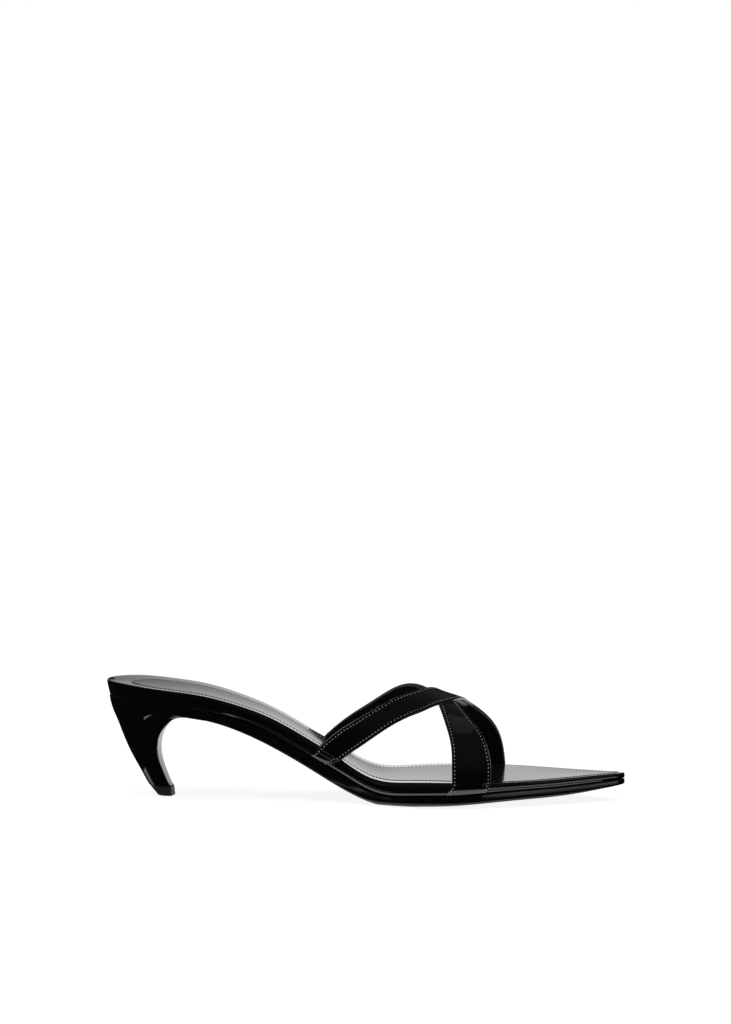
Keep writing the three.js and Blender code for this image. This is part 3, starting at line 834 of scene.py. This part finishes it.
def strap_rings(edges, lift):
    step = strap_steps
    heelward, toeward = edges(step)
    columns, outs, stretch = [], [], []
    for run in (heelward, toeward):
        path = strap_form(run, step)
        ahead = unit(np.gradient(path, axis=0))
        across = unit(strap_form(run + 0.5, step) - strap_form(run - 0.5, step))
        lean = np.abs((ahead * across).sum(axis=1))
        stretch.append(1 / np.sqrt(1 - np.minimum(lean, 0.9) ** 2))
    for inset, out in one_side:
        columns.append(heelward + inset * stretch[0])
        outs.append(out)
    inner = one_side[-1][0]
    start, stop = heelward + inner * stretch[0], toeward - inner * stretch[1]
    for share in belly_shares:
        columns.append(mix(start, stop, share))
        outs.append(1.0)
    for inset, out in one_side[::-1]:
        columns.append(toeward - inset * stretch[1])
        outs.append(out)
    start, stop = toeward - edge_radius * stretch[1], heelward + edge_radius * stretch[0]
    for share in inner_shares:
        columns.append(mix(start, stop, share))
        outs.append(0.0)
    run = np.stack(columns, axis=1)
    steps = np.repeat(step[:, None], run.shape[1], axis=1)
    base = strap_form(run, steps)
    by_run = strap_form(run + 0.4, steps) - strap_form(run - 0.4, steps)
    ahead = np.gradient(base, axis=0)
    outward = unit(np.cross(by_run, ahead))
    middle = outward[len(step) // 2, run.shape[1] // 2]
    if middle[2] < 0:
        outward = -outward
    beyond = past_arch(step)
    wall = mix(strap_thickness, tab_thickness, ease(beyond / 6))[:, None]
    raise_by = wall * np.array(outs)[None, :] + lift(run, steps) + rim_crease(base)[:, None]
    return base + outward * raise_by[:, :, None], outward


def flat_lay(run, step):
    return 0.0 * run


ride_ramp, bite = 15.0, 0.12


def ride_over(run, step):
    low, high = under_edges(step)
    away = np.maximum(np.maximum(low - run, run - high), 0)
    inside = (step >= 0) & (step <= 180)
    return np.where(inside, (strap_thickness - bite) * (1 - ease(away / ride_ramp)), 0)


def strap_piece(name, edges, lift):
    rings, outward = strap_rings(edges, lift)
    points, faces = ring_mesh([list(map(tuple, ring)) for ring in rings], close=(False, False))
    size = rings.shape[1]
    inner_from = size - len(inner_shares) - 1
    near_paint = range(0, len(edge_spots) // 2)
    last_edge = 2 * len(one_side) + len(belly_shares) - 2
    far_paint = range(last_edge - len(edge_spots) // 2, last_edge + 1)
    slots = []
    for i in range(len(faces)):
        column = i % size
        painted = column in near_paint or column in far_paint
        slots.append(2 if painted else 1 if column >= inner_from else 0)
    piece = make_piece(name, points, faces, [patent, lining, edge_paint], crease=60, slots=slots)
    face_out(piece)
    return piece, rings, outward


over_strap, over_rings, over_outward = strap_piece("over_strap", over_edges, ride_over)
under_strap, under_rings, under_outward = strap_piece("under_strap", under_edges, flat_lay)
print("strap faces:", len(over_strap.data.polygons), len(under_strap.data.polygons))

# %% [markdown]
# ## Stitches
# A stitch is a short length of thread that comes out of the leather, lies on it and dives back
# in. One small capsule is bent for each stitch and laid along the groove at an even pitch.

# %% Stitch maker
stitch_pitch, stitch_length, thread_radius = 1.85, 0.75, 0.17
stitch_sides = 6
faces_per_stitch = 4 * stitch_sides + 2


def stitch_row(name, path, outward, finish, sides=stitch_sides):
    path, outward = np.asarray(path), unit(np.asarray(outward))
    walked = np.concatenate([[0], np.cumsum(np.linalg.norm(np.diff(path, axis=0), axis=1))])
    points, faces = [], []

    def at(table, s):
        return np.array([np.interp(s, walked, table[:, k]) for k in range(3)])

    for start in np.arange(0, walked[-1] - stitch_length, stitch_pitch):
        first = len(points)
        for share in (0.0, 0.18, 0.5, 0.82, 1.0):
            s = start + share * stitch_length
            here, up = at(path, s), unit(at(outward, s))
            ahead = unit(at(path, s + 0.1) - at(path, max(s - 0.1, 0)))
            side = unit(np.cross(ahead, up))
            bulge = math.sin(math.pi * share)
            radius = thread_radius * (0.45 + 0.55 * bulge**0.5)
            middle = here + up * (thread_radius * (1.3 * bulge**0.5 - 0.9))
            for k in range(sides):
                turn = 2 * math.pi * k / sides
                points.append(middle + radius * (math.cos(turn) * side + math.sin(turn) * up))
        for ring in range(4):
            for k in range(sides):
                a, b = first + ring * sides + k, first + ring * sides + (k + 1) % sides
                faces.append((a, b, b + sides, a + sides))
        faces.append(tuple(first + k for k in range(sides)))
        faces.append(tuple(first + 4 * sides + sides - 1 - k for k in range(sides)))
    piece = make_piece(name, points, faces, [finish], crease=60)
    face_out(piece)
    return piece


def strap_stitches(name, rings, outward, skip):
    size = rings.shape[1]
    other = 2 * len(one_side) + len(belly_shares) - 1 - groove_column
    keep = slice(skip, len(strap_steps) - skip)
    return [
        stitch_row(f"{name}_{k}", rings[keep, column], outward[keep, column], thread)
        for k, column in ((1, groove_column), (2, other))
    ]


over_stitches = strap_stitches("over_strap_stitches", over_rings, over_outward, 8)
under_stitches = strap_stitches("under_strap_stitches", under_rings, under_outward, 8)
print("stitches on one edge:", len(over_stitches[0].data.polygons) // faces_per_stitch)


# %% Sock stitches
def sock_line(inset):
    side, back, toe = parallel(lambda run: sock_inset(run) + inset)
    turn = np.linspace(0, 1, 401)
    run = mix(back + 0.05, toe - 0.05, (1 - np.cos(math.pi * turn)) / 2)
    near, far = -side(run, -1), side(run, 1)
    run = np.concatenate([run, run[::-1]])
    across = np.concatenate([near, far[::-1]])
    height = footbed_top(run, across) - sock_recess + sock_top
    return np.stack([run, across, height], axis=1)


line = sock_line(0.9)
straight_up = np.tile([0, 0, 1.0], (len(line), 1))
sock_stitches = stitch_row("sock_stitches", line, straight_up, dark_thread)
print("sock stitches:", len(sock_stitches.data.polygons) // faces_per_stitch)

# %% [markdown]
# ## Taking the places of the solids
# Each fine piece stands in for one solid of the model, which is hidden, and rides on the one
# body of the shoe.

# %% Places
dressed = [
    (footbed, "footbed", "patent_leather"),
    (sock, "insole_sock", "sock_leather"),
    (sock_stitches, "insole_sock", "sock_leather"),
    (outsole, "outsole", "outsole_rubber"),
    (heel, "heel", "patent_leather"),
    (heel_tip, "heel_tip", "tip_rubber"),
    (over_strap, "upper", "patent_leather"),
    (under_strap, "upper", "patent_leather"),
]
dressed += [(row, "upper", "patent_leather") for row in over_stitches + under_stitches]
for piece, node, slot in dressed:
    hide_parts(node)
    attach(piece, "root")
print("pieces in place:", len(dressed))

# %% [markdown]
# ## Floor and light
# Black gloss is lit by what it mirrors. The room is therefore drawn by direction: it is nearly
# dark, a little lighter overhead, with a dim panel high up at either end. The camera itself
# sees a plain white backdrop.

# %% Room
def fade(value, low, high):
    node = nodes.new("ShaderNodeMapRange")
    node.interpolation_type = "SMOOTHSTEP"
    node.inputs["From Min"].default_value = low
    node.inputs["From Max"].default_value = high
    links.new(value, node.inputs["Value"])
    return node.outputs["Result"]


def calc(kind, first, second):
    node = nodes.new("ShaderNodeMath")
    node.operation = kind
    for socket, value in zip(node.inputs, (first, second)):
        if isinstance(value, float):
            socket.default_value = value
        else:
            links.new(value, socket)
    return node.outputs[0]


room = bpy.data.worlds.new("studio room")
bpy.context.scene.world = room
room.use_nodes = True
nodes, links = room.node_tree.nodes, room.node_tree.links
nodes.clear()
place = nodes.new("ShaderNodeTexCoord")
split = nodes.new("ShaderNodeSeparateXYZ")
links.new(place.outputs["Generated"], split.inputs[0])
across_room, into_room, upward_room = split.outputs
print("room opened")

# %% Side panels and dark room
panel_out = fade(calc("ABSOLUTE", across_room, 0.0), 0.60, 0.70)
panel_light, ceiling_light, wall_light = 0.35, 0.045, 0.006
panel_high = calc("MULTIPLY", panel_out, fade(upward_room, 0.35, 0.45))
panel = calc("MULTIPLY", panel_high, panel_light)
ceiling = calc("MULTIPLY", fade(upward_room, -0.1, 0.6), ceiling_light)
dark_room = calc("ADD", ceiling, wall_light)
strength = calc("MAXIMUM", panel, dark_room)
room_light = nodes.new("ShaderNodeBackground")
room_light.inputs["Color"].default_value = (1, 1, 1, 1)
links.new(strength, room_light.inputs["Strength"])
backdrop = nodes.new("ShaderNodeBackground")
backdrop.inputs["Color"].default_value = (1, 1, 1, 1)
rays = nodes.new("ShaderNodeLightPath")
blend = nodes.new("ShaderNodeMixShader")
links.new(rays.outputs["Is Camera Ray"], blend.inputs["Fac"])
links.new(room_light.outputs[0], blend.inputs[1])
links.new(backdrop.outputs[0], blend.inputs[2])
out = nodes.new("ShaderNodeOutputWorld")
links.new(blend.outputs[0], out.inputs["Surface"])
print("panels and backdrop are hung")

# %% [markdown]
# The floor is a wide sheet of paper. It glows, as an overexposed studio floor does, so only a
# faint shadow is left under the sole. The leather doesn't mirror it.

# %% Floor
bpy.ops.mesh.primitive_plane_add(size=12.0, location=(0.1, 0, -0.0002))
floor = bpy.context.object
floor.name = "studio_floor"
floor_finish = bpy.data.materials.new("white studio paper")
floor_finish.use_nodes = True
paper = floor_finish.node_tree.nodes["Principled BSDF"]
paper.inputs["Base Color"].default_value = (0.3, 0.3, 0.3, 1)
paper.inputs["Roughness"].default_value = 1.0
paper.inputs["Specular IOR Level"].default_value = 0.0
paper.inputs["Emission Color"].default_value = (1, 1, 1, 1)
paper.inputs["Emission Strength"].default_value = 0.90
floor.data.materials.append(floor_finish)
floor.visible_glossy = False
print("floor laid")

# %% [markdown]
# Product photographers set white cards round a black gloss shoe and place each one by what it
# draws in the leather. Low cards behind the shoe brighten the footbed but pass under the crest
# of the straps. A strip on the table beside the sole draws the grey band low on the side, and
# two more on the table light the side at the waist and at the toe. A card overhead draws one
# patch on the front strap, and a small one behind the heel a thin wedge. The standing cards
# and the heel's card reach below the floor, which the leather doesn't mirror either. Only
# mirrored rays see the cards, as with cards that stand outside the picture.

# %% White cards
def hang_card(name, corners, brightness, dim_end=None):
    card_finish = bpy.data.materials.new("white card " + name)
    card_finish.use_nodes = True
    card_shader = card_finish.node_tree.nodes["Principled BSDF"]
    card_shader.inputs["Base Color"].default_value = (0, 0, 0, 1)
    card_shader.inputs["Specular IOR Level"].default_value = 0.0
    card_shader.inputs["Emission Color"].default_value = (1, 1, 1, 1)
    card_shader.inputs["Emission Strength"].default_value = brightness
    if dim_end is not None:
        nodes, links = card_finish.node_tree.nodes, card_finish.node_tree.links
        place = nodes.new("ShaderNodeTexCoord")
        split = nodes.new("ShaderNodeSeparateXYZ")
        ramp = nodes.new("ShaderNodeMapRange")
        ramp.inputs["From Min"].default_value = dim_end[0] * MM
        ramp.inputs["From Max"].default_value = dim_end[1] * MM
        ramp.inputs["To Min"].default_value = dim_end[2]
        ramp.inputs["To Max"].default_value = brightness
        links.new(place.outputs["Object"], split.inputs[0])
        links.new(split.outputs[0], ramp.inputs["Value"])
        links.new(ramp.outputs["Result"], card_shader.inputs["Emission Strength"])
    faces = [(k, k + 1, k + 3, k + 2) for k in range(0, len(corners) - 2, 2)]
    card = make_piece(name, np.array(corners) + [origin_run, 0, 0], faces, [card_finish])
    card.visible_camera = False
    card.visible_diffuse = False
    card.visible_shadow = False


def standing(x0, x1, low, high, y):
    return [(x0, y, low), (x1, y, low), (x0, y, high), (x1, y, high)]


card_foot, card_away = -60, 150
hang_card("toe_card", standing(90, 350, card_foot, 45, card_away), 1.0)
seat_corners = standing(-60, 90, card_foot, 120, card_away)
hang_card("seat_card", seat_corners, 1.0, dim_end=(-40, 75, 0.3))
hang_card("heel_card", [(-20, -10, -6), (-20, 0, -6), (-20, -10, 6), (-20, 0, 6)], 1.0)
overhead = [(154.7, 5.2, 150), (194.7, 108, 150), (164.1, -55.9, 150), (176.5, -40.4, 150)]
hang_card("overhead_card", overhead, 0.15)
waist_line = [(8, -56, 0), (92, -56, 0), (8, -50, 0), (92, -50, 0)]
hang_card("waist_card", waist_line, 1.0)
toe_side = [(172, -71, 0), (268, -30, 0), (192, -112, 0), (305, -62, 0)]
hang_card("toe_side_card", toe_side, 1.1)
strip_runs = np.arange(60, 253, 4.0)
near_edge = centre_line(strip_runs) - half_width(strip_runs)
strip_x = strip_runs.repeat(2) - origin_run
strip_y = np.ravel([near_edge - 7, near_edge + 3], "F")
strip = np.stack([strip_x, strip_y, np.full(len(strip_x), -0.1)], 1)
hang_card("table_card", strip, 1.1)
print("cards hung, sole strip of", len(strip_runs), "steps")

# %% Fill light
fill_data = bpy.data.lights.new("overhead_fill", "SUN")
fill_data.energy = 1.6
fill_data.angle = math.radians(70)
fill = bpy.data.objects.new("overhead_fill", fill_data)
fill.rotation_euler = (math.radians(12), 0, 0)
fill.visible_glossy = False
bpy.context.scene.collection.objects.link(fill)
print("fill light:", fill_data.energy)

# %% [markdown]
# ## Camera
# A long lens from three metres keeps the shoe's lines straight. The camera stands a little
# above the floor, almost square to the shoe's outer side, and is aimed above it, so that the
# shoe sits in the lower part of the picture.

# %% Camera
azimuth, elevation, roll = math.radians(3.5), math.radians(8.0), math.radians(0.2)
back = Vector((
    math.sin(azimuth) * math.cos(elevation),
    -math.cos(azimuth) * math.cos(elevation),
    math.sin(elevation),
))
right = Vector((math.cos(azimuth), math.sin(azimuth), 0))
upward = back.cross(right)
right, upward = (
    right * math.cos(roll) + upward * math.sin(roll),
    upward * math.cos(roll) - right * math.sin(roll),
)
focal_pixels, shoe_below_middle = 6097.6, 224.38
aim_up = math.atan(shoe_below_middle / focal_pixels)
camera_distance = 3.0
target = Vector((0.09805, 0, 0.030))
position = target + back * camera_distance
forward = -back * math.cos(aim_up) + upward * math.sin(aim_up)
upward = upward * math.cos(aim_up) + back * math.sin(aim_up)
lens_data = bpy.data.cameras.new("long lens")
lens_data.lens = 214.37
lens_data.sensor_width = 36
lens_data.clip_end = 50
camera = bpy.data.objects.new("long_lens_camera", lens_data)
axes = Matrix((right, upward, -forward)).transposed()
camera.matrix_world = Matrix.Translation(position) @ axes.to_4x4()
bpy.context.scene.collection.objects.link(camera)
bpy.context.scene.camera = camera
bpy.context.scene.view_settings.view_transform = "Standard"
print("camera at", [round(v, 3) for v in position])
